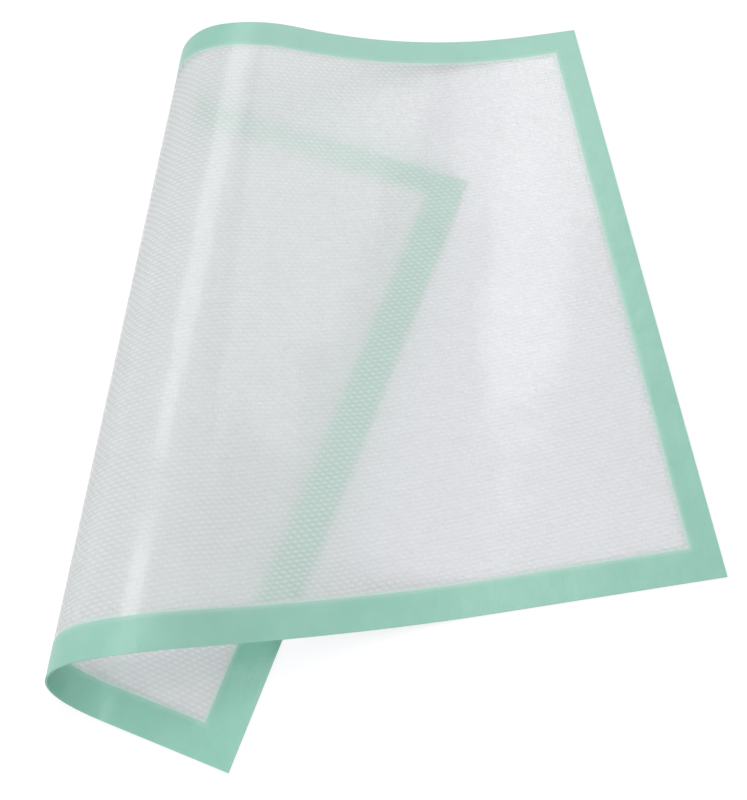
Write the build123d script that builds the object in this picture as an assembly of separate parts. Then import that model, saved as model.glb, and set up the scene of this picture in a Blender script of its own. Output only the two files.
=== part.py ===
from build123d import *

import os
from dataclasses import dataclass
from math import cos, pi, radians, sin, sqrt, tan

# A baking mat of woven glass fibre coated in silicone, lying on a table with its
# left part folded under it. The crease lines of the fold run from front to back,
# along Y. The left part lies underneath, and the rest bends up and over it in a
# loop and comes down flat on the table at the right. The sheet's outer face is
# under the lapped part, outside the bend and on top at the right.
# Each layer is drawn flat, in (along, across), and then laid along the fold.

# The mat laid flat
MAT_LENGTH = 400.0
MAT_WIDTH = 300.0

# The layers of the sheet, from its middle outwards
MESH_THICKNESS = 0.30
COAT_THICKNESS = 0.20
BAND_THICKNESS = 0.10

# The coloured border's width at each edge, as it was laid a little off centre
BAND_AT_FREE_END = 17.0
BAND_AT_LAID_END = 13.0
BAND_AT_FRONT = 14.5
BAND_AT_BACK = 13.5

# How far the coloured silicone that closes the cut edge reaches into the sheet
SEAL_WIDTH = 0.8

# The angle in degrees between the crease lines and the mat's short edges
SKEW_ANGLE = 14.7
# Square to the crease lines, from where the sheet lands to the laid end's back corner
LANDED_FLAT = 25.0
# The air left over the free end's back corner, where the sheet comes down across it
CORNER_CLEARANCE = 0.68

# The loop between lift-off and landing keeps the curve that the sheet's own stiffness
# gives it, so its radii are shares of its length. Turns are in degrees.
BEND_RADIUS_SHARE = 0.0974
BEND_TURN = 180.0
CROWN_RADIUS_SHARE = 0.2735
CROWN_TURN = 32.0
HALF_TURN = 180.0

# Heights of the layers' faces over the middle of the sheet, on either side of it
MESH_FACE = MESH_THICKNESS / 2
COAT_FACE = MESH_FACE + COAT_THICKNESS
BAND_FACE = COAT_FACE + BAND_THICKNESS

# Along is measured square to the crease lines, from zero at the free end's front corner
CREASE_SLOPE = tan(radians(SKEW_ANGLE))
FREE_BACK_CORNER = -MAT_WIDTH * sin(radians(SKEW_ANGLE))
LAID_FRONT_CORNER = MAT_LENGTH * cos(radians(SKEW_ANGLE))
LAID_BACK_CORNER = LAID_FRONT_CORNER + FREE_BACK_CORNER
LANDING = LAID_BACK_CORNER - LANDED_FLAT
BEYOND = 2 * (MAT_LENGTH + MAT_WIDTH)

RIGHTWARD = Vector(1, 0, 0)
ACROSS = Vector(0, 1, 0)
UPWARD = Vector(0, 0, 1)


@dataclass
class Run:
    """A run of the sheet between two crease lines, flat or bent to one radius.

    A heading of zero is to the left. A positive turn brings the sheet up and over
    its inner face, and a negative one bends it back.
    """

    start: float
    length: float
    turn: float
    origin: Vector
    heading: float

    @property
    def radius(self):
        return self.length / radians(abs(self.turn))

    @property
    def side(self):
        return 1 if self.turn > 0 else -1

    @property
    def travel(self):
        return RIGHTWARD * -cos(radians(self.heading)) + UPWARD * sin(radians(self.heading))

    @property
    def outward(self):
        return self.travel.cross(ACROSS)

    @property
    def hub(self):
        return self.origin - self.outward * self.side * self.radius

    def end(self):
        """The middle of the sheet where this run ends, on the front plane."""
        if not self.turn:
            return self.origin + self.travel * self.length
        spoke = self.origin - self.hub
        return self.hub + spoke.rotate(Axis((0, 0, 0), ACROSS), self.turn)


def run_on(start, origin, heading, lengths_and_turns):
    """The runs of the sheet one after another, each from where the last one ends."""
    runs = []
    for length, turn in lengths_and_turns:
        run = Run(start, length, turn, origin, heading)
        runs.append(run)
        start, origin, heading = start + length, run.end(), heading + turn
    return runs


def loop_shares():
    """Length and turn of each run of the loop, the lengths as shares of the whole loop.

    The bend is made in two equal halves. After it and the crown come a straight slope
    and a reverse bend, the sag. Their lengths are the pair that uses up the loop and
    ends level on the table.
    """
    bend = BEND_RADIUS_SHARE * radians(BEND_TURN)
    crown = CROWN_RADIUS_SHARE * radians(CROWN_TURN)
    steepest = BEND_TURN + CROWN_TURN
    drop = BEND_RADIUS_SHARE * (1 - cos(radians(BEND_TURN)))
    drop += CROWN_RADIUS_SHARE * (cos(radians(BEND_TURN)) - cos(radians(steepest)))
    sag_turn = steepest - HALF_TURN
    dive = sin(radians(sag_turn))
    flare = 1 - cos(radians(sag_turn))
    rest = 1 - bend - crown
    sag_radius = (rest * dive - drop) / (radians(sag_turn) * dive - flare)
    sag = sag_radius * radians(sag_turn)
    half_bend = (bend / 2, BEND_TURN / 2)
    return [half_bend, half_bend, (crown, CROWN_TURN), (rest - sag, 0), (sag, -sag_turn)]


def loop_length():
    """The length of sheet in the loop, from lift-off to landing.

    A longer loop leaves less sheet to lap under it and lands further to the right.
    This one is as long as brings the sheet down over the free end's back corner with
    its clearance, so it solves the circle of the sag for its height there.
    """
    sag = run_on(0, Vector(0, 0, 0), 0, loop_shares())[-1]
    height = COAT_FACE + BAND_FACE + CORNER_CLEARANCE
    back_edge = LANDING - FREE_BACK_CORNER
    spread = 1 + sag.end().X
    middle = spread * back_edge + height * sag.radius
    return (middle + sqrt(middle**2 - spread**2 * (back_edge**2 + height**2))) / spread**2


def fold():
    """Every run of the sheet in order, from the free end to the laid end."""
    loop = loop_length()
    lapped = (LANDING - loop - FREE_BACK_CORNER, 0)
    lifted = [(share * loop, turn) for share, turn in loop_shares()]
    landed = (LAID_FRONT_CORNER - LANDING, 0)
    free_corner = Vector(-FREE_BACK_CORNER, 0, BAND_FACE)
    return run_on(FREE_BACK_CORNER, free_corner, 0, [lapped, *lifted, landed])


def flat_sheet(free_end=0, laid_end=0, front=0, back=0):
    """The mat's flat outline in (along, across), drawn in by a margin at each edge."""
    length = MAT_LENGTH - free_end - laid_end
    width = MAT_WIDTH - front - back
    sheet = Pos(free_end, front) * Rectangle(length, width, align=(Align.MIN, Align.MIN))
    return Rot(0, 0, SKEW_ANGLE) * sheet


def sealed_sheet():
    """The outline inside the seal, for the mesh and its two coats."""
    return flat_sheet(SEAL_WIDTH, SEAL_WIDTH, SEAL_WIDTH, SEAL_WIDTH)


def border():
    """The coloured frame round the mat."""
    window = flat_sheet(BAND_AT_FREE_END, BAND_AT_LAID_END, BAND_AT_FRONT, BAND_AT_BACK)
    return flat_sheet() - window


def flat_run(run, outline, low, high):
    """A layer's part on a flat run: the strip of its outline there, as thick as the layer."""
    window = Rectangle(run.length, BEYOND, align=(Align.MIN, Align.CENTER))
    strip = outline & Pos(run.start, 0) * window
    slab = extrude(Pos(-run.start, 0, low) * strip, high - low)
    return (Plane(run.origin, x_dir=run.travel, z_dir=run.outward) * slab).solids()


def bent_run(run, outline, low, high):
    """A layer's part on a bend: its section along the first crease line, carried round as a screw.

    The crease lines cross the mat askew, so as the sheet goes round, its front and
    back edges move across at a steady rate, and both are helices of one pitch.
    """
    path = Edge.make_helix(
        pitch=2 * pi * run.radius * CREASE_SLOPE,
        height=run.length * CREASE_SLOPE,
        radius=run.radius,
        lefthand=run.side < 0,
    )
    place = Plane(run.hub, x_dir=run.outward * run.side, z_dir=ACROSS)
    crease = outline & Line((run.start, -BEYOND), (run.start, BEYOND))
    solids = []
    for edge in crease.edges():
        middle = Pos(run.radius + run.side * (low + high) / 2, edge.center().Y)
        section = Plane.XZ * middle * Rectangle(high - low, edge.length)
        solids += (place * sweep(section, path, is_frenet=True)).solids()
    return solids


def layer(outline, low, high):
    """One layer of the sheet laid along the fold, between two heights over its middle."""
    solids = []
    for run in fold():
        shape = bent_run if run.turn else flat_run
        solids += shape(run, outline, low, high)
    return Solid.fuse(*solids)


def on_the_table(piece):
    """Moves a piece so that the origin is on the table, under the middle of the folded mat."""
    bend = fold()[1]
    left = bend.origin.X - bend.radius - BAND_FACE
    right = fold()[-1].end().X
    depth = MAT_LENGTH * sin(radians(SKEW_ANGLE)) + MAT_WIDTH * cos(radians(SKEW_ANGLE))
    return Pos(-(left + right) / 2, -depth / 2, 0) * piece


# Every piece by name, as a flat outline and the two heights that it lies between
PIECES = {
    "glass_fibre_mesh": (sealed_sheet(), -MESH_FACE, MESH_FACE),
    "outer_silicone_coat": (sealed_sheet(), MESH_FACE, COAT_FACE),
    "inner_silicone_coat": (sealed_sheet(), -COAT_FACE, -MESH_FACE),
    "edge_seal": (flat_sheet() - sealed_sheet(), -COAT_FACE, COAT_FACE),
    "outer_border_band": (border(), COAT_FACE, BAND_FACE),
    "inner_border_band": (border(), -BAND_FACE, -COAT_FACE),
}

os.makedirs("parts", exist_ok=True)
for name, (outline, low, high) in PIECES.items():
    piece = on_the_table(layer(outline, low, high))
    print(f"{name}: {piece.volume:.1f} mm3, {outline.area * (high - low):.1f} mm3 when flat")
    export_step(piece, f"parts/{name}.step")
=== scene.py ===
# %% [markdown]
# # A silicone baking mat, folded loosely under
#
# The object is one thin sheet: woven glass fibre, soaked in silicone and coated with it
# on both faces, with an opaque mint green border printed round it. Its left part is
# folded under at a slant and the fold stands up as a soft loop. The packed CAD model is
# loaded first, as the frame that every piece is set into.

# %% Load the frame
import math

import bpy
import numpy as np
from mathutils import Matrix, Quaternion, Vector


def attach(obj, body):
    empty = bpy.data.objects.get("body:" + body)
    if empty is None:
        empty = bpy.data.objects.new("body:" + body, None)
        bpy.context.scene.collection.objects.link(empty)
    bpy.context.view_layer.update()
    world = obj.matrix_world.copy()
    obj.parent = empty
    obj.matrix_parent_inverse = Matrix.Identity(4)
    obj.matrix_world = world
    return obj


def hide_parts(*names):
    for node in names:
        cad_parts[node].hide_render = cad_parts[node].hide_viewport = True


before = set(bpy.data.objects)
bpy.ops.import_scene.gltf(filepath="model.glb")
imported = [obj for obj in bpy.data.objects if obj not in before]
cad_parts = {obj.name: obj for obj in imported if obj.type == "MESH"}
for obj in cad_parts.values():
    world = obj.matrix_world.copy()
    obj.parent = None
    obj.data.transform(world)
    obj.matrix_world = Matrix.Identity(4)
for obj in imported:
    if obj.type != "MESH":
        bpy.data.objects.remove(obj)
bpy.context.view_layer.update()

MM = 1000  # millimetres in a metre


print("CAD nodes:", ", ".join(sorted(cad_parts)))

# %% [markdown]
# ## The mat before it is folded
#
# A mat like this is cut as a plain rectangle, so everything on it is easiest to give
# while it lies flat: `u` runs along its length from the end that will be folded under,
# and `v` runs across it from the edge that will lie in front. These are the same sizes
# as in the CAD source, here in metres. The border was printed a little off centre, so
# each edge has a width of its own.

# %% Sizes of the flat mat
MAT_LENGTH, MAT_WIDTH = 0.400, 0.300
COAT_FACE = 0.00035  # from the middle of the sheet to the face of its coat
BAND_FACE = 0.00045  # and to the face of the border
SEAL_WIDTH = 0.0008
BAND_AT_FREE_END, BAND_AT_LAID_END = 0.0170, 0.0130
BAND_AT_FRONT, BAND_AT_BACK = 0.0145, 0.0135
SKEW = math.radians(14.7)  # between the fold's crease lines and the mat's short edges

print("flat mat:", MAT_LENGTH, "x", MAT_WIDTH, "m, faces", 2 * COAT_FACE * MM, "mm apart")

# %% [markdown]
# ## The line of the fold
#
# Seen from the front, the folded mat is one line: flat on the table towards the left,
# up and over in a tight bend, a wider crown, a short straight slope, then a long sag in
# the other direction that lands on the table. Each run has a length and an angle that it
# turns through, so the heading of the line is known at each point of it.
#
# Arcs that meet end to end look right in outline but not in a reflection, because the
# curvature jumps where they meet and a highlight gets a hard side there. A real sheet is
# springy and spreads each change over a centimetre or so. So the heading is averaged
# over a short window before the line is drawn from it, and the small error that leaves
# at the landing is shared out along the loop.

# %% Heading and place of the line at each point
RUNS = (  # length in metres, turn in degrees
    (0.12811, 0.0),  # lapped flat under the rest
    (0.07154, 180.0),  # the bend
    (0.03571, 32.0),  # the crown
    (0.00542, 0.0),  # the slope
    (0.12112, -32.0),  # the sag
    (0.10113, 0.0),  # laid flat
)
FREE_BACK_CORNER = -MAT_WIDTH * math.sin(SKEW)
FRONT_TO_BACK = MAT_LENGTH * math.sin(SKEW) + MAT_WIDTH * math.cos(SKEW)
LAPPED_END_X, LAID_END_X = 0.01246, 0.13888
STEP = 0.00025
MARGIN = 0.02  # of line beyond the sheet at both ends
SPRING_WINDOW = 0.008
SPRING_PASSES = 2

run_ends = np.cumsum([FREE_BACK_CORNER] + [length for length, turn in RUNS])
headings = np.radians(np.cumsum([0.0] + [turn for length, turn in RUNS]))
line_along = np.arange(run_ends[0] - MARGIN, run_ends[-1] + MARGIN, STEP)


def averaged(values, window):
    """The values, each averaged with its neighbours over a window of the line."""
    count = int(round(window / STEP)) | 1  # always odd, so that it has a middle
    padded = np.pad(values, count // 2, mode="edge")
    return np.convolve(padded, np.ones(count) / count, mode="valid")


line_heading = np.interp(line_along, run_ends, headings)
for _ in range(SPRING_PASSES):
    line_heading = averaged(line_heading, SPRING_WINDOW)


def drawn(rate):
    """Adds up a rate of change along the line."""
    between = (rate[1:] + rate[:-1]) / 2 * STEP
    return np.concatenate([[0.0], np.cumsum(between)])


line_x = drawn(-np.cos(line_heading))
line_z = drawn(np.sin(line_heading))
line_x += LAPPED_END_X - np.interp(run_ends[0], line_along, line_x)
line_z += BAND_FACE - line_z[0]
lift_off, landing = run_ends[1], run_ends[-2]
share = np.interp(line_along, [lift_off, landing], [0.0, 1.0])
miss_x = LAID_END_X - np.interp(run_ends[-1], line_along, line_x)
miss_z = BAND_FACE - line_z[-1]
line_x += share * miss_x
line_z += share * miss_z
print("shared out:", round(miss_x * MM, 2), "mm across,", round(miss_z * MM, 2), "mm up")
print("loop stands", round(line_z.max() * MM, 1), "mm high")

# %% [markdown]
# ## From flat to folded
#
# A sheet like this bends but doesn't stretch, so folding it is a change of place that
# keeps every length: turn the flat mat by the slant of the fold, follow the line for the
# distance along it, and keep the distance across it as it is. The height over the middle
# of the sheet is then measured square to the line. Positive heights are on the outer
# face, which is on top at the right and underneath at the left.

# %% Lay a point of the flat mat along the fold
def folded(u, v, height):
    """Where a point of the flat mat comes to lie, at a height over the sheet's middle."""
    along = u * math.cos(SKEW) - v * math.sin(SKEW)
    across = u * math.sin(SKEW) + v * math.cos(SKEW)
    heading = np.interp(along, line_along, line_heading)
    x = np.interp(along, line_along, line_x) - height * np.sin(heading)
    z = np.interp(along, line_along, line_z) - height * np.cos(heading)
    return np.stack([x, across - FRONT_TO_BACK / 2, z], axis=-1)


for u, v in ((0, 0), (0, MAT_WIDTH), (MAT_LENGTH, 0), (MAT_LENGTH, MAT_WIDTH)):
    print("corner", (u, v), "lies at", (folded(u, v, 0.0) * MM).round(1), "mm")

# %% [markdown]
# ## One way to build every layer
#
# The sheet, its sealed edge and the two printed borders differ only in outline and
# thickness. Each could be a plane with a Solidify modifier, but then the frame-shaped
# ones would need a hole cut and the faces would lose the grid that the weave is drawn
# on. Here each is a grid on the flat mat, of which some cells are kept. The kept cells
# get an outer face, an inner face and a wall wherever a cell has no neighbour, so every
# layer is a closed solid without a face too many.

# %% Close some cells of a grid into a solid
GRID_CELL = 0.0025


def spaced(*stops):
    """Grid lines through each stop, with cells of about one size between them."""
    lines = [np.array([stops[0]])]
    for start, end in zip(stops, stops[1:]):
        count = max(1, int(round((end - start) / GRID_CELL)))
        lines.append(np.linspace(start, end, count + 1)[1:])
    return np.concatenate(lines)


def closed_faces(number, kept):
    """Faces over, under and round the kept cells, as numbers of the grid's points."""
    corners = [number[:-1, :-1], number[1:, :-1], number[1:, 1:], number[:-1, 1:]]
    cells = np.stack(corners, axis=-1)[kept]
    sides = {}
    for cell in cells.tolist():
        for start, end in zip(cell, cell[1:] + cell[:1]):
            if sides.pop((end, start), None) is None:
                sides[start, end] = True
    below = number.size
    walls = [[start, start + below, end + below, end] for start, end in sides]
    return np.array(cells.tolist() + (cells[:, ::-1] + below).tolist() + walls)


print("the long side has", len(spaced(0.0, MAT_LENGTH)) - 1, "cells")

# %% [markdown]
# ## A layer as a Blender mesh
#
# The grid's points are laid along the fold twice, once at the height of each face, and
# those that no kept cell uses are left out. Each corner of a face also remembers its
# flat place as a UV, which the materials use to draw things at their true size. Smooth
# shading rounds the fold, while the walls keep a sharp edge.

# %% Build a layer
UV_SPAN = 0.400  # one UV unit, in metres of flat mat
SHARP_FROM = math.radians(50)


def layer(name, columns, rows, keep, low, high):
    """A closed layer over the kept cells, between a low and a high face."""
    u, v = np.meshgrid(columns, rows, indexing="ij")
    outer = folded(u, v, high(u, v)).reshape(-1, 3)
    inner = folded(u, v, low(u, v)).reshape(-1, 3)
    middle_u = (u[:-1, :-1] + u[1:, 1:]) / 2
    middle_v = (v[:-1, :-1] + v[1:, 1:]) / 2
    faces = closed_faces(np.arange(u.size).reshape(u.shape), keep(middle_u, middle_v))
    used = np.unique(faces)
    renumbered = np.full(2 * u.size, -1)
    renumbered[used] = np.arange(len(used))
    mesh = bpy.data.meshes.new(name)
    places = np.concatenate([outer, inner])[used]
    mesh.from_pydata(places.tolist(), [], renumbered[faces].tolist())
    flat = np.tile(np.stack([u.ravel(), v.ravel()], axis=-1), (2, 1))[used] / UV_SPAN
    corners = np.empty(len(mesh.loops), dtype=np.int32)
    mesh.loops.foreach_get("vertex_index", corners)
    mesh.uv_layers.new(name="flat_mat").data.foreach_set("uv", flat[corners].ravel())
    mesh.shade_smooth()
    mesh.set_sharp_from_angle(angle=SHARP_FROM)
    piece = bpy.data.objects.new(name, mesh)
    bpy.context.scene.collection.objects.link(piece)
    print(name, "has", len(mesh.polygons), "faces")
    return piece


def everywhere(u, v):
    return np.ones(u.shape, dtype=bool)


def at(height):
    """A height that is the same all over."""
    return lambda u, v: np.full(u.shape, height)


print("a UV unit is", UV_SPAN, "m of flat mat")

# %% [markdown]
# ## The coated glass cloth
#
# The translucent part is a single laminate: yarns of glass fibre, white and about
# 1.7 to 2 mm apart, with silicone in and over them. Its yarns could be modelled one by
# one, but there are some 380 of them with 35,000 crossings, sunk in rubber that levels
# them to a relief of a few hundredths of a millimetre. So the piece is the smooth slab
# that the hand feels, and its weave comes from the material. It replaces the mesh and
# both coats of the CAD model, because they're pressed into one another.

# %% The slab of coated cloth
coated_cloth = layer(
    "coated_glass_cloth",
    spaced(SEAL_WIDTH, MAT_LENGTH - SEAL_WIDTH),
    spaced(SEAL_WIDTH, MAT_WIDTH - SEAL_WIDTH),
    everywhere,
    at(-COAT_FACE),
    at(COAT_FACE),
)

# %% [markdown]
# ## The sealed edge
#
# The cut edge of the cloth would fray and soak up fat, so green silicone closes it all
# round, over the ends of the yarns. It's a ring less than a millimetre wide, of the same
# thickness as the slab. Its colour is made deeper than the border's as painted shade, so
# it shows as a slightly darker line along the edge.

# %% The ring of sealed edge
def inside_seal(u, v):
    along = (u > SEAL_WIDTH) & (u < MAT_LENGTH - SEAL_WIDTH)
    return along & (v > SEAL_WIDTH) & (v < MAT_WIDTH - SEAL_WIDTH)


edge_seal = layer(
    "sealed_edge",
    spaced(0.0, SEAL_WIDTH, MAT_LENGTH - SEAL_WIDTH, MAT_LENGTH),
    spaced(0.0, SEAL_WIDTH, MAT_WIDTH - SEAL_WIDTH, MAT_WIDTH),
    lambda u, v: ~inside_seal(u, v),
    at(-COAT_FACE),
    at(COAT_FACE),
)

# %% [markdown]
# ## The printed border
#
# The border is green silicone printed as a frame on each face, a tenth of a millimetre
# thick. Screen-printed rubber doesn't end in a step: at the inner side it thins out over
# about a millimetre, and at the cut edge it's pressed down a little. A bevel would round
# both sides alike, so the height is given by a rule instead, and the grid gets extra
# lines where it changes. The border floats 0.005 mm over the cloth, because two faces in
# one place would flicker.

# %% The border's outline and height
WINDOW_U = (BAND_AT_FREE_END, MAT_LENGTH - BAND_AT_LAID_END)
WINDOW_V = (BAND_AT_FRONT, MAT_WIDTH - BAND_AT_BACK)
THINNING = 0.0010  # from the inner edge out to the full height
PRESSED = 0.0004  # from the cut edge in to the full height
PRESSED_SHARE = 0.55  # of the height that is left at the cut edge
LEAST_BAND = 0.00001  # from the cloth to the border's face where it's thinnest


def inside_window(u, v):
    return (u > WINDOW_U[0]) & (u < WINDOW_U[1]) & (v > WINDOW_V[0]) & (v < WINDOW_V[1])


def band_height(u, v):
    """How far the border's face stands from the middle of the sheet."""
    out_u = np.maximum(WINDOW_U[0] - u, u - WINDOW_U[1])
    out_v = np.maximum(WINDOW_V[0] - v, v - WINDOW_V[1])
    from_window = np.maximum(out_u, out_v)
    from_edge = np.minimum.reduce([u, MAT_LENGTH - u, v, MAT_WIDTH - v])
    rise = np.clip(from_window / THINNING, 0, 1)
    pressed = PRESSED_SHARE + (1 - PRESSED_SHARE) * np.clip(from_edge / PRESSED, 0, 1)
    rise = np.minimum(rise, pressed)
    full = BAND_FACE - COAT_FACE - LEAST_BAND
    return COAT_FACE + LEAST_BAND + full * np.sin(rise * math.pi / 2)


def band_lines(window, length):
    """Grid lines across the border, closer together where its height changes."""
    low, high = window
    into = (low - THINNING, low - THINNING / 3, low)
    out_of = (high, high + THINNING / 3, high + THINNING)
    return spaced(0.0, PRESSED, *into, *out_of, length - PRESSED, length)


for u in (0.0, WINDOW_U[0] / 2, WINDOW_U[0] - THINNING / 3, WINDOW_U[0]):
    height = band_height(np.array(u), np.array(MAT_WIDTH / 2))
    print(round(u * MM, 1), "mm in, the border's face is", round(height * MM, 3), "mm up")

# %% The two borders
band_grid = band_lines(WINDOW_U, MAT_LENGTH), band_lines(WINDOW_V, MAT_WIDTH)
band_floor = COAT_FACE + LEAST_BAND / 2


def on_border(u, v):
    return ~inside_window(u, v)


def inner_height(u, v):
    return -band_height(u, v)


outer_faces = at(band_floor), band_height
inner_faces = inner_height, at(-band_floor)
outer_border = layer("outer_border", *band_grid, on_border, *outer_faces)
inner_border = layer("inner_border", *band_grid, on_border, *inner_faces)

# %% [markdown]
# ## A small kit for materials
#
# Materials in Blender are graphs of nodes. They can be drawn by hand in its editor, but
# in a script each node takes several lines, so this kit writes them shorter: it adds one
# node, sets its inputs from numbers or from other nodes' outputs, and gives back what
# comes out. The same kit serves the materials and the world.

# %% Helpers for node materials
class Recipe:
    """The nodes of a material or of the world, added one at a time."""

    def __init__(self, owner, output="OutputMaterial"):
        self.owner = owner
        self.owner.use_nodes = True
        self.tree = self.owner.node_tree
        self.tree.nodes.clear()
        self.out = self.tree.nodes.new("ShaderNode" + output)

    def feed(self, socket, value):
        """Gives a socket its value: another node's output, a colour or a number."""
        if isinstance(value, bpy.types.NodeSocket):
            self.tree.links.new(value, socket)
        elif hasattr(value, "__len__") and len(value) == 3 and socket.type == "RGBA":
            socket.default_value = (*value, 1.0)
        else:
            socket.default_value = value

    def node(self, kind, settings=(), **inputs):
        made = self.tree.nodes.new("ShaderNode" + kind)
        for key, value in dict(settings).items():
            setattr(made, key, value)
        for key, value in inputs.items():
            self.feed(made.inputs[key.replace("_", " ")], value)
        return made

    def sum(self, operation, *values):
        """One step of arithmetic."""
        made = self.node("Math", {"operation": operation})
        for socket, value in zip(made.inputs, values):
            self.feed(socket, value)
        return made.outputs[0]

    def ramp(self, value, low, high, to_low, to_high, smooth=True):
        """Takes the value from one range to another, and holds it at the ends."""
        kind = "SMOOTHSTEP" if smooth else "LINEAR"
        made = self.node("MapRange", {"interpolation_type": kind})
        for socket, number in zip(made.inputs, (value, low, high, to_low, to_high)):
            self.feed(socket, number)
        return made.outputs[0]

    def blend(self, share, first, second):
        """Mixes two colours."""
        made = self.node("Mix", {"data_type": "RGBA"})
        colour_inputs = made.inputs[6], made.inputs[7]  # before them come the numbers
        for socket, value in zip((made.inputs[0], *colour_inputs), (share, first, second)):
            self.feed(socket, value)
        return made.outputs[2]

    def scaled(self, vector, by):
        made = self.node("VectorMath", {"operation": "SCALE"}, Scale=by)
        self.feed(made.inputs[0], vector)
        return made.outputs[0]

    def noise(self, place, scale, detail, roughness=0.5):
        settings = {"Scale": scale, "Detail": detail, "Roughness": roughness}
        return self.node("TexNoise", Vector=place, **settings).outputs[0]

    def bump(self, height, distance, under=None):
        """A surface normal tilted by the height, over an earlier one if given."""
        made = self.node("Bump", Strength=1.0, Distance=distance, Height=height)
        if under is not None:
            self.feed(made.inputs["Normal"], under)
        return made.outputs[0]

    def mix_shaders(self, share, first, second):
        made = self.node("MixShader")
        for socket, value in zip(made.inputs, (share, first, second)):
            self.feed(socket, value)
        return made.outputs[0]

    def finish(self, shader):
        self.tree.links.new(shader, self.out.inputs["Surface"])
        print(self.owner.name, "has", len(self.tree.nodes), "nodes")
        return self.owner


print("a recipe can", ", ".join(name for name in vars(Recipe) if name[0] != "_"))

# %% [markdown]
# ## Where a point lies on the flat mat
#
# Every pattern here is drawn in the flat mat's own millimetres, read from the UV map, so
# it follows the sheet round the fold as a real weave does. A pattern drawn in the room's
# coordinates would slide through the mat where it bends. Several finishes also change
# near the border's inner edge, so the distance from it is worked out here once.

# %% Place on the mat, and distance from the border
def flat_place(recipe):
    """The flat mat's place as a vector in millimetres, and its two numbers."""
    uv = recipe.node("UVMap", {"uv_map": "flat_mat"}).outputs[0]
    place = recipe.scaled(uv, UV_SPAN * MM)
    parts = recipe.node("SeparateXYZ", Vector=place)
    return place, parts.outputs[0], parts.outputs[1]


def into_window(recipe, u, v):
    """Millimetres inward from the border's inner edge, negative on the border."""
    inward = []
    for place, window in ((u, WINDOW_U), (v, WINDOW_V)):
        low, high = (edge * MM for edge in window)
        from_low = recipe.sum("SUBTRACT", place, low)
        from_high = recipe.sum("SUBTRACT", high, place)
        inward.append(recipe.sum("MINIMUM", from_low, from_high))
    return recipe.sum("MINIMUM", *inward)


for name, (low, high) in (("length", WINDOW_U), ("width", WINDOW_V)):
    print("inside the border the", name, "is", round((high - low) * MM, 1), "mm")

# %% [markdown]
# ## The weave
#
# A plain weave passes each yarn over one and under the next. Seen from above it's a
# brick pattern: at each crossing either the lengthwise yarn or the crosswise one is on
# top, in turn, and between the yarns there are gaps where the silicone is clearest. Two
# cosines give all of it. Squared, each is the rounded back of one set of yarns, and
# their product is positive at every other crossing, which tells who is on top.
#
# The crosswise yarns are pulled tighter on the loom and lie lower than the lengthwise
# ones, so the rows stand out more than the columns, and the gaps run mostly along the
# rows. The crossings also lean a little to one side, which adds one slanting cosine. The
# cloth was laid in about three degrees off square and wanders slightly, as cloth does.

# %% Draw the weave's relief, gaps and crossings
CROSSWISE_RATE = (0.577, 0.018)  # yarns passed per millimetre along u and along v
LENGTHWISE_RATE = (-0.033, 0.502)
WANDER_SCALE = 0.045  # waves of it per millimetre
WANDER = 1.3  # yarns that the cloth wanders by crosswise, over the noise's range
WANDER_LENGTHWISE = 0.6  # of that
LIFT = 0.45  # how far a crossing raises one yarn and lowers the other
ROW_HEIGHT = 0.55
COLUMN_HEIGHT, COLUMN_FLOOR = 0.20, 0.30
ROW_GAP = 0.5  # how open a gap is between two rows, over a crosswise yarn
LEAN = 0.5  # of the height of a crossing
MELTED = 0.15  # how softly the silicone joins one yarn to the next


def wave(recipe, place):
    return recipe.sum("COSINE", recipe.sum("MULTIPLY", place, math.pi))


def weave(recipe, place, u, v):
    """Relief, the yarns counted both ways, their backs, and who is on top."""
    wander = recipe.noise(place, WANDER_SCALE, detail=0.0)
    wander = recipe.sum("MULTIPLY", recipe.sum("SUBTRACT", wander, 0.5), WANDER)
    rate_u, rate_v = CROSSWISE_RATE
    across = recipe.sum("MULTIPLY_ADD", u, rate_u, recipe.sum("MULTIPLY", v, rate_v))
    across = recipe.sum("ADD", across, wander)
    rate_u, rate_v = LENGTHWISE_RATE
    along = recipe.sum("MULTIPLY_ADD", v, rate_v, recipe.sum("MULTIPLY", u, rate_u))
    along = recipe.sum("ADD", along, recipe.sum("MULTIPLY", wander, WANDER_LENGTHWISE))

    column_wave, row_wave = wave(recipe, across), wave(recipe, along)
    on_top = recipe.sum("MULTIPLY", column_wave, row_wave)
    column = recipe.sum("MULTIPLY", column_wave, column_wave)
    row = recipe.sum("MULTIPLY", row_wave, row_wave)
    lift = recipe.sum("MULTIPLY", on_top, LIFT)
    lengthwise = recipe.sum("MULTIPLY_ADD", row, ROW_HEIGHT, lift)
    crosswise = recipe.sum("MULTIPLY_ADD", column, COLUMN_HEIGHT, COLUMN_FLOOR)
    crosswise = recipe.sum("SUBTRACT", crosswise, lift)
    relief = recipe.sum("SMOOTH_MAX", lengthwise, crosswise, MELTED)
    return relief, (across, along), (column, row), on_top


def gaps(recipe, column, row):
    """How open the cloth is: 0 on the yarns' backs and 1 in the middle of a gap."""
    between_columns = recipe.sum("SUBTRACT", 1.0, column)
    between_rows = recipe.sum("SUBTRACT", 1.0, row)
    gap = recipe.sum("MULTIPLY_ADD", between_columns, 1 - ROW_GAP, ROW_GAP)
    return recipe.sum("MULTIPLY", gap, between_rows)


def bricks(recipe, across, along, on_top):
    """High where a lengthwise yarn is on top, leaning over to one side."""
    lean = wave(recipe, recipe.sum("ADD", across, along))
    return recipe.sum("MULTIPLY_ADD", lean, LEAN, on_top)


for name, rate in (("crosswise", CROSSWISE_RATE), ("lengthwise", LENGTHWISE_RATE)):
    print(name, "yarns lie", round(1 / math.hypot(*rate), 2), "mm apart")
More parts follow.
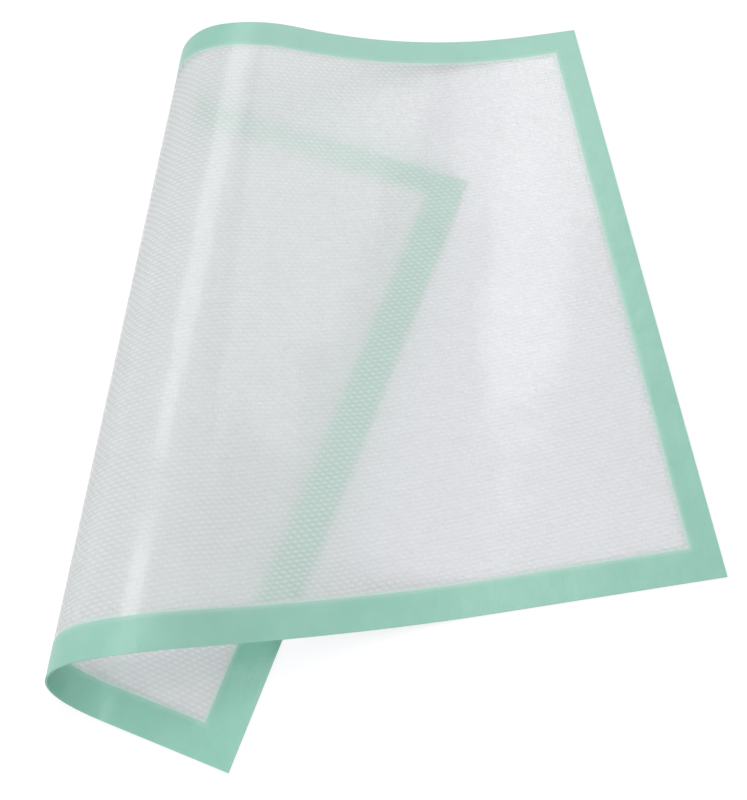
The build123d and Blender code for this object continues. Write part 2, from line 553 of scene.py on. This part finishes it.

# %% [markdown]
# ## Milky silicone over glass: colour and body
#
# Light meets this sheet in several ways, and one shader can't give them all. Part of it
# is scattered inside. Most of that comes back out and makes the sheet look white, which
# is a Principled shader with a clear coat, the silicone's own smooth skin. The rest of it
# comes out at the far side, so the loop glows where light falls on its other face and its
# shadow is pale. That is a Translucent shader. The yarns' tops are a touch whiter than
# the gaps, more so along the rows and where a lengthwise yarn is on top. That is partly
# the yarns' own white and partly painted shading, the light and shade that falls on the
# weave's relief. A slow cloudiness keeps the whole from looking printed. Close to the
# border a little of its green has crept in.

# %% Colour and body of the cloth
MILK = (0.746, 0.755, 0.756)
MINT = (0.430, 0.650, 0.575)
CREPT = (-0.6, 2.6)  # millimetres in from the border, over which its green fades
CREPT_SHARE = 0.85
MIDDLE = (0.3, 0.7)  # where most of Blender's noise lies
YARN_TONE, CLOUD_TONE = 0.015, 0.006  # shares that the colour is lighter or darker by
# the row and crossing tones are partly the yarns' own white and partly painted shading of
# the weave's relief
GAP_TONE, ROW_TONE_AND_PAINTED_SHADING, CROSSING_TONE_AND_PAINTED_SHADING = 0.98, 0.100, 0.025
SILICONE_IOR = 1.41
BODY_ROUGHNESS = (0.42, 0.30)  # in the gaps and on the yarns
CLOUD_IN_GLOSS = 0.6  # how much the cloudiness counts in it, beside the yarns
UNEVEN = (0.0, 1.4)  # the range of the two together
SKIN_ROUGHNESS = 0.045
YARN_DEPTH, SKIN_DEPTH, SWAY = 0.00006, 0.000014, 0.0010
FINE_DEPTH = 0.06  # of the yarns' relief
CLOUD_SCALE, FINE_SCALE = 0.02, 0.9  # noise cells per millimetre
GLOW_SHARE = 0.45  # of the scattered light that comes out at the far side


def cloth_colour(recipe, relief, brick, row, cloud, fine, near):
    """White yarns under milk, and the green that has crept in beside the border."""
    tone = recipe.ramp(relief, 0.0, 1.0, GAP_TONE, 1.0, smooth=False)
    for noise, by in ((fine, YARN_TONE), (cloud, CLOUD_TONE)):
        tone = recipe.sum("ADD", tone, recipe.ramp(noise, *MIDDLE, -by, by, smooth=False))
    # lighter rows and crossings: partly the yarns' own white, partly painted shading of the
    # weave's relief
    tone = recipe.sum("MULTIPLY_ADD", row, ROW_TONE_AND_PAINTED_SHADING, tone)
    tone = recipe.sum("MULTIPLY_ADD", brick, CROSSING_TONE_AND_PAINTED_SHADING, tone)
    crept = recipe.ramp(near, *CREPT, CREPT_SHARE, 0.0)
    return recipe.blend(crept, recipe.scaled(MILK, tone), MINT)


def scattering(recipe, colour, relief, cloud, fine, closed, skin):
    """The white body under its skin, mixed with the glow at the far side."""
    fine_relief = recipe.sum("MULTIPLY_ADD", fine, FINE_DEPTH, relief)
    uneven = recipe.sum("ADD", relief, recipe.sum("MULTIPLY", cloud, CLOUD_IN_GLOSS))
    body = recipe.node(
        "BsdfPrincipled",
        Base_Color=colour,
        Roughness=recipe.ramp(uneven, *UNEVEN, *BODY_ROUGHNESS, smooth=False),
        Normal=recipe.bump(cloud, SWAY, under=recipe.bump(fine_relief, YARN_DEPTH)),
        IOR=SILICONE_IOR,
        Specular_IOR_Level=0.5,
        Coat_Weight=1.0,
        Coat_Roughness=SKIN_ROUGHNESS,
        Coat_IOR=SILICONE_IOR,
        Coat_Normal=skin,
    )
    glow = recipe.node("BsdfTranslucent", Color=colour)
    glow_share = recipe.ramp(closed, 0.0, 1.0, GLOW_SHARE, 0.0, smooth=False)
    return recipe.mix_shaders(glow_share, body.outputs[0], glow.outputs[0])


turned_back = ((SILICONE_IOR - 1) / (SILICONE_IOR + 1)) ** 2
print("seen straight on, the skin mirrors", round(100 * turned_back, 1), "% of the light")

# %% [markdown]
# ## Milky silicone over glass: what passes through
#
# The rest of the light isn't scattered much. Some passes straight through, more so in
# the gaps of the weave, which is why the folded-under border shows through as a dotted
# green band, and some is bent a little on the way, which softens that band where it lies
# far below. A Transparent shader and a rough, weak Refraction stand for the two, under
# the same skin as the rest, whose gloss grows at a slant as Fresnel says.
#
# Both faces of the slab share the work, so each lets through more than the sheet does as
# a whole. Lamps look for what they light along straight rays, which only a Transparent
# shader lets pass, so for those rays nearly the whole sheet is transparent. That is the
# light that the real sheet hands down by scattering. Beside the border green rubber has
# filled the gaps, and nothing passes there.

# %% What passes through the cloth
CLEAR, WHITE = (0.99, 1.0, 0.995), (1.0, 1.0, 1.0)
HAZE_ROUGHNESS, HAZE_IOR = 0.9, 1.12
GAP_RANGE = (0.0, 0.8)  # from a yarn's back to an open gap
STRAIGHT_SHARE = (0.40, 0.46)  # of what passes, over a yarn and in a gap
PASSING_SHARE = (0.468, 0.578)  # of all the light, over a yarn and in a gap
CROSSING_SHARE, CLOUD_SHARE = -0.15, 0.01
FILLED = (0.2, 2.6)  # millimetres in from the border, over which the gaps open
YARNS_REACH = 0.6  # millimetres by which the green follows the yarns at its edge
TO_LAMPS = 0.95  # share of a lamp's light that the sheet hands down


def passing(recipe, gap, skin, lamp_light):
    """Light that passes straight or hazily, and the skin's gloss over it."""
    straight = recipe.node("BsdfTransparent", Color=CLEAR).outputs[0]
    haze = recipe.node("BsdfRefraction", Color=CLEAR, Roughness=HAZE_ROUGHNESS, IOR=HAZE_IOR)
    hazy = recipe.mix_shaders(lamp_light, haze.outputs[0], straight)
    straight_share = recipe.ramp(gap, *GAP_RANGE, *STRAIGHT_SHARE)
    through = recipe.mix_shaders(straight_share, hazy, straight)
    gloss = recipe.node("BsdfGlossy", Color=WHITE, Roughness=SKIN_ROUGHNESS, Normal=skin)
    mirror = recipe.node("Fresnel", IOR=SILICONE_IOR, Normal=skin).outputs[0]
    mirror = recipe.sum("MULTIPLY", mirror, recipe.sum("SUBTRACT", 1.0, lamp_light))
    return recipe.mix_shaders(mirror, through, gloss.outputs[0])


def passing_share(recipe, gap, brick, cloud, closed, lamp_light):
    """How much of the light isn't scattered at each point."""
    share = recipe.ramp(gap, *GAP_RANGE, *PASSING_SHARE)
    share = recipe.sum("MULTIPLY_ADD", brick, CROSSING_SHARE, share)
    share = recipe.sum("ADD", share, recipe.ramp(cloud, *MIDDLE, -CLOUD_SHARE, CLOUD_SHARE))
    share = recipe.sum("MULTIPLY", share, recipe.sum("SUBTRACT", 1.0, closed))
    return recipe.sum("MAXIMUM", share, recipe.sum("MULTIPLY", lamp_light, TO_LAMPS))


print("over a yarn", PASSING_SHARE[0], "of the light passes, in a gap", PASSING_SHARE[1])


# %% The whole material of the cloth
def milky_silicone():
    recipe = Recipe(bpy.data.materials.new("milky_silicone_over_glass"))
    place, u, v = flat_place(recipe)
    relief, counted, (column, row), on_top = weave(recipe, place, u, v)
    gap, brick = gaps(recipe, column, row), bricks(recipe, *counted, on_top)
    cloud = recipe.noise(place, CLOUD_SCALE, detail=1.0)
    fine = recipe.noise(place, FINE_SCALE, detail=0.0)
    near = recipe.sum("MULTIPLY_ADD", relief, YARNS_REACH, into_window(recipe, u, v))
    closed = recipe.ramp(near, *FILLED, 1.0, 0.0)
    skin = recipe.bump(relief, SKIN_DEPTH, under=recipe.bump(cloud, SWAY))
    lamp_light = recipe.node("LightPath").outputs["Is Shadow Ray"]
    colour = cloth_colour(recipe, relief, brick, row, cloud, fine, near)
    scattered = scattering(recipe, colour, relief, cloud, fine, closed, skin)
    passed = passing(recipe, gap, skin, lamp_light)
    share = passing_share(recipe, gap, brick, cloud, closed, lamp_light)
    return recipe.finish(recipe.mix_shaders(share, scattered, passed))


coated_cloth.data.materials.append(milky_silicone())

# %% [markdown]
# ## Mint green silicone
#
# The border is pigmented, so it's opaque and satin, and one Principled shader is enough
# for it. It lies over the weave and a faint trace of the yarns still shows in it,
# together with the slow mottling that a squeegee leaves. Towards its inner edge it's
# printed thinner and so paler. The inner face's border is the same rubber, given a
# deeper colour as painted shade for the folded-under part, which lies in partial shade.
# The sealed edge is the same rubber, deeper again as painted shade on its thin edge,
# with the grain of a cut edge.

# %% Materials of the border and the sealed edge
THIN_PRINT = (0.47, 0.65, 0.58)
PALING = (-2.2, 0.3)  # millimetres in from the border, over which the print thins
PALING_SHARE = 0.45
SMEAR_SCALE, PIGMENT_SCALE = 0.055, 1.6  # noise cells per millimetre
SMEAR_SHARE, PIGMENT_SHARE = 0.7, 0.3  # of each in the mottling
MOTTLED = (0.35, 0.65)
PRINT_DEPTH, PRINT_SWAY = 0.00002, 0.0008
PIGMENT_DEPTH = 0.35  # of the print's depth
PRINT_REACH = 0.5  # millimetres by which the print follows the yarns at its edge


def mint_silicone(name, colour, deep, trace, roughness):
    """Between two colours and two roughnesses, with some trace of the yarns."""
    recipe = Recipe(bpy.data.materials.new(name))
    place, u, v = flat_place(recipe)
    relief = weave(recipe, place, u, v)[0]
    smear = recipe.noise(place, SMEAR_SCALE, detail=4.0, roughness=0.55)
    pigment = recipe.noise(place, PIGMENT_SCALE, detail=3.0, roughness=0.6)
    mottle = recipe.sum("MULTIPLY", pigment, PIGMENT_SHARE)
    mottle = recipe.sum("ADD", recipe.sum("MULTIPLY", smear, SMEAR_SHARE), mottle)
    tint = recipe.blend(recipe.ramp(mottle, *MOTTLED, 0.0, 1.0), deep, colour)
    near = recipe.sum("MULTIPLY_ADD", relief, PRINT_REACH, into_window(recipe, u, v))
    tint = recipe.blend(recipe.ramp(near, *PALING, 0.0, PALING_SHARE), tint, THIN_PRINT)
    grain = recipe.sum("MULTIPLY", pigment, PIGMENT_DEPTH)
    height = recipe.sum("MULTIPLY_ADD", relief, trace, grain)
    body = recipe.node(
        "BsdfPrincipled",
        Base_Color=tint,
        Roughness=recipe.ramp(mottle, *MIDDLE, *roughness),
        Normal=recipe.bump(smear, PRINT_SWAY, under=recipe.bump(height, PRINT_DEPTH)),
        IOR=SILICONE_IOR,
        Specular_IOR_Level=1.0,
    )
    return recipe.finish(body.outputs[0])


for piece, *finish in (
    (outer_border, (0.287, 0.562, 0.456), (0.260, 0.532, 0.424), 0.45, (0.30, 0.38)),
    # the inner border's deeper colours are painted shade, for the folded-under part in
    # partial shade
    (inner_border, (0.258, 0.545, 0.436), (0.230, 0.512, 0.402), 0.45, (0.30, 0.38)),
    # the sealed edge's deeper colours are painted shade on the thin edge
    (edge_seal, (0.235, 0.455, 0.375), (0.190, 0.395, 0.320), 0.10, (0.55, 0.70)),
):
    piece.data.materials.append(mint_silicone("mint_silicone_" + piece.name, *finish))

# %% [markdown]
# ## The table
#
# The mat lies on a plain white ground. A plane of matt white paint would do, but it only
# reads as white under light that would bleach the mat. So part of what the camera, a
# reflection or a clear surface gets from it is a plain glow of its own, which lights
# nothing else. The glow leaves room for the mat's shadow close by and takes over further
# off, so that a low view has no grey band at the horizon. Where the table is seen
# through the mat it's paint alone, shaded by the mat as the real one is. The paint has a
# faint lavender tint, which is painted shade: the cool colour of the shade under the mat.

# %% The white table
TABLE_HALF = 3.0
TABLE_DROP = 0.00005  # just under the mat, so that their faces don't meet
SPREAD = ((-1, -1), (1, -1), (1, 1), (-1, 1))
# the lavender tint of the paint is painted shade, the cool colour of the shade under the mat
PAINT_WITH_SHADE_TINT, PALER_PAINT_WITH_SHADE_TINT = (0.716, 0.702, 0.741), (0.731, 0.717, 0.756)
GRAIN_SCALE = 220.0
GLOW_STRENGTH = 1.25
GLOW_FROM, GLOW_TO = (0.4, 1.6), (0.60, 1.0)  # metres from the middle, and its shares
table_mesh = bpy.data.meshes.new("white_table")
table_corners = [(x * TABLE_HALF, y * TABLE_HALF, -TABLE_DROP) for x, y in SPREAD]
table_mesh.from_pydata(table_corners, [], [(0, 1, 2, 3)])
table = bpy.data.objects.new("white_table", table_mesh)
bpy.context.scene.collection.objects.link(table)


def seen_directly(recipe):
    """One for a camera ray, also by way of a gloss or a clear surface, or else zero."""
    rays = recipe.node("LightPath").outputs
    seen = recipe.sum("MAXIMUM", rays["Is Camera Ray"], rays["Is Glossy Ray"])
    seen = recipe.sum("MAXIMUM", seen, rays["Is Transmission Ray"])
    return recipe.sum("MULTIPLY", seen, recipe.sum("LESS_THAN", rays["Diffuse Depth"], 0.5))


def white_table():
    recipe = Recipe(bpy.data.materials.new("matt_white_table"))
    spot = recipe.node("TexCoord").outputs["Object"]
    grain = recipe.ramp(recipe.noise(spot, GRAIN_SCALE, detail=3.0), *MIDDLE, 0.0, 1.0)
    paint = recipe.node("BsdfDiffuse", Color=recipe.blend(grain, PAINT_WITH_SHADE_TINT, PALER_PAINT_WITH_SHADE_TINT))
    glow = recipe.node("Emission", Color=WHITE, Strength=GLOW_STRENGTH)
    away = recipe.node("VectorMath", {"operation": "LENGTH"})
    recipe.feed(away.inputs[0], spot)
    glow_share = recipe.ramp(away.outputs["Value"], *GLOW_FROM, *GLOW_TO)
    path = recipe.node("LightPath").outputs
    faces = recipe.sum("ADD", path["Transparent Depth"], path["Transmission Depth"])
    uncovered = recipe.ramp(faces, 0.0, 1.0, glow_share, 0.0)
    share = recipe.sum("MULTIPLY", seen_directly(recipe), uncovered)
    return recipe.finish(recipe.mix_shaders(share, paint.outputs[0], glow.outputs[0]))


table_mesh.materials.append(white_table())

# %% [markdown]
# ## Light
#
# Every highlight on the mat is the picture of a lamp. On a known curve the place of a
# highlight says where its lamp is, so these lamps were found by following the camera's
# rays from the highlights back up. The long streak on the loop comes from a row of
# softboxes overhead, far, middle and near, and the bright area where the sheet comes down
# is the far one's picture in the flat part, with a wing beside it for its paler side. A
# wide panel at the back gives the far border and the back of the mat their sheen.
#
# Two more fill in from the front and the left, and the even surround does the rest. The
# fill of a studio comes from all its walls and shows in no gloss, so those two lamps are
# hidden from reflections. Soft light could come from the surround alone, but then
# nothing on the mat would show how smooth it is.

# %% The lamps
LAMP_HEIGHT = 1.20
ORIGIN = (0.0, 0.0, 0.0)


def softbox(name, place, aim, size, watts, glints, twist=0):
    """A rectangular lamp, twisted about its own axis by some degrees."""
    lamp = bpy.data.lights.new(name, "AREA")
    lamp.shape = "RECTANGLE"
    lamp.size, lamp.size_y = size
    lamp.energy = watts
    holder = bpy.data.objects.new(name, lamp)
    holder.location = place
    holder.visible_glossy = glints
    pointing = (Vector(aim) - Vector(place)).to_track_quat("-Z", "Y")
    turned = pointing @ Quaternion((0, 0, 1), math.radians(twist))
    holder.rotation_euler = turned.to_euler()
    bpy.context.scene.collection.objects.link(holder)
    print(name, "gives", watts, "W")


for name, x, y, size, watts, twist in (
    ("far_softbox", 0.02, 0.85, (0.36, 0.82), 2.6, -4),
    ("far_wing_softbox", 0.29, 1.02, (0.16, 0.48), 0.38, -8),
    ("middle_softbox", -0.03, 0.36, (0.24, 0.15), 0.36, 0),
    ("near_softbox", -0.01, -0.05, (0.26, 0.47), 1.4, 0),
):
    softbox(name, (x, y, LAMP_HEIGHT), (x, y, 0.0), size, watts, True, twist)

for name, place, aim, size, watts, glints in (
    ("back_softbox", (1.05, 1.30, 1.00), (0.0, 0.1, 0.0), (1.5, 1.1), 8.0, True),
    ("front_softbox", (-0.25, -1.10, 0.60), ORIGIN, (0.9, 0.5), 5.0, False),
    ("left_softbox", (-1.10, 0.0, 0.75), (-0.05, 0.0, 0.0), (0.9, 0.9), 4.6, False),
):
    softbox(name, place, aim, size, watts, glints)


# %% The even surround
SURROUND_TINT, SURROUND_LEVEL = (0.98, 0.99, 1.0), 0.45


def even_surround():
    """White to the camera, and a plain level of light to everything else."""
    recipe = Recipe(bpy.data.worlds.new("even_white_surround"), "OutputWorld")
    light = recipe.node("Background", Color=SURROUND_TINT, Strength=SURROUND_LEVEL)
    white = recipe.node("Background", Color=WHITE, Strength=1.0)
    directly = seen_directly(recipe)
    return recipe.finish(recipe.mix_shaders(directly, light.outputs[0], white.outputs[0]))


bpy.context.scene.world = even_surround()
bpy.context.scene.view_settings.view_transform = "Standard"

# %% [markdown]
# ## The camera
#
# The camera's place was worked out from the corners and edges of the mat in the
# photograph, together with the shape of the fold. It stands in front of the mat, looks
# down at 64 degrees and has a normal lens. The photograph was cropped nearer to its top
# than to its bottom, so the lens is shifted by a little over a tenth of the picture.

# %% Set up the camera
PICTURE = (747, 800)
FOCAL_PIXELS = 1221.2
OPTICAL_ROW = 305.0  # the row of the picture that the lens points at, from its top
SENSOR = 36.0
CAMERA_PLACE = (0.01148, -0.23597, 0.52966)
PICTURE_RIGHT = (0.99406, 0.10676, -0.02136)
LOOKING = (-0.06611, 0.43604, -0.89749)
camera_data = bpy.data.cameras.new("camera")
camera_data.sensor_width = SENSOR
camera_data.lens = FOCAL_PIXELS * SENSOR / max(PICTURE)
camera_data.shift_y = (OPTICAL_ROW - PICTURE[1] / 2) / max(PICTURE)
camera = bpy.data.objects.new("camera", camera_data)
right = Vector(PICTURE_RIGHT).normalized()
towards = Vector(LOOKING).normalized()
up = right.cross(towards).normalized()
turn = Matrix((right, up, -towards)).transposed()
camera.matrix_world = Matrix.Translation(CAMERA_PLACE) @ turn.to_4x4()
bpy.context.scene.collection.objects.link(camera)
bpy.context.scene.camera = camera
print("lens", round(camera_data.lens, 1), "mm, shift", round(camera_data.shift_y, 3))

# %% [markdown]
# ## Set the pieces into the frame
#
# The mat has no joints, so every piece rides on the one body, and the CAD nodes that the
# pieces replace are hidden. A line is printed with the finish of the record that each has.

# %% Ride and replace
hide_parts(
    "glass_fibre_mesh", "outer_silicone_coat", "inner_silicone_coat"
)
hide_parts("edge_seal")
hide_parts("outer_border_band")
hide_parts("inner_border_band")
for piece, finish in (
    (coated_cloth, "clear_silicone"),
    (edge_seal, "mint_silicone"),
    (outer_border, "mint_silicone"),
    (inner_border, "mint_silicone"),
):
    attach(piece, "root")
    print(piece.name, "rides on the mat's one body as", finish)
